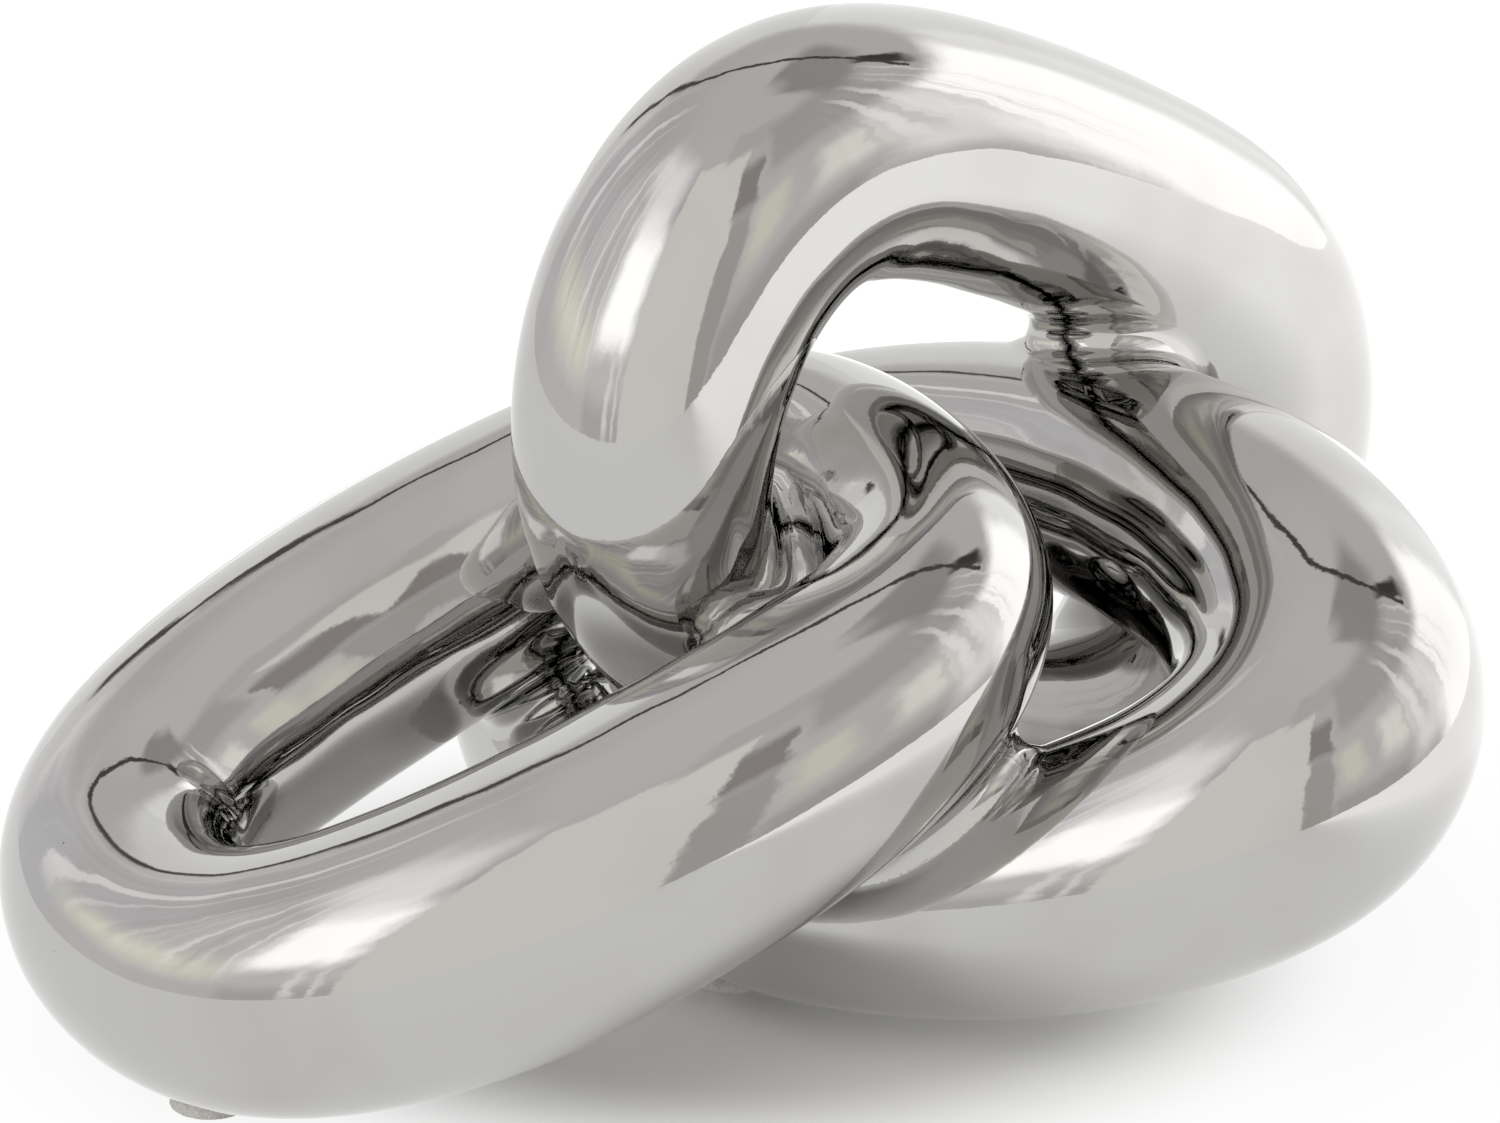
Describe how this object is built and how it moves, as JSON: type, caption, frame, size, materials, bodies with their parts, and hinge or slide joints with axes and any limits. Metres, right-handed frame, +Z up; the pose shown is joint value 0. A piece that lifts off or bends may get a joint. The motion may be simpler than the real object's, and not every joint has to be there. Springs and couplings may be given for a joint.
{
  "type": "ceramic chain sculpture",
  "caption": "Glazed ceramic sculpture of fat oval chain links, stuck together where they touch: one stands up through the two that lie tilted beside each other.",
  "frame": {"origin": "middle of the bounding box, on the table that the felt pads stand on", "axes": "+Z up, +X to the right along the sculpture's length, -Y towards the front, the side that the picture looks at"},
  "size_m": [0.2756, 0.2395, 0.182],
  "materials": {
    "silver_glaze": "mirror-bright silver glaze over white slip-cast ceramic",
    "felt": "pressed pale grey felt"
  },
  "bodies": {
    "root": {"link_left": "silver_glaze", "link_right": "silver_glaze", "link_top_upper_half": "silver_glaze", "link_top_lower_half": "silver_glaze", "slip_left_top": "silver_glaze", "slip_left_right_front": "silver_glaze", "slip_left_right_back": "silver_glaze", "slip_top_right_upper": "silver_glaze", "slip_top_right_lower": "silver_glaze", "felt_pad_left": "felt", "felt_pad_top": "felt", "felt_pad_right": "felt"}
  },
  "joints": []
}
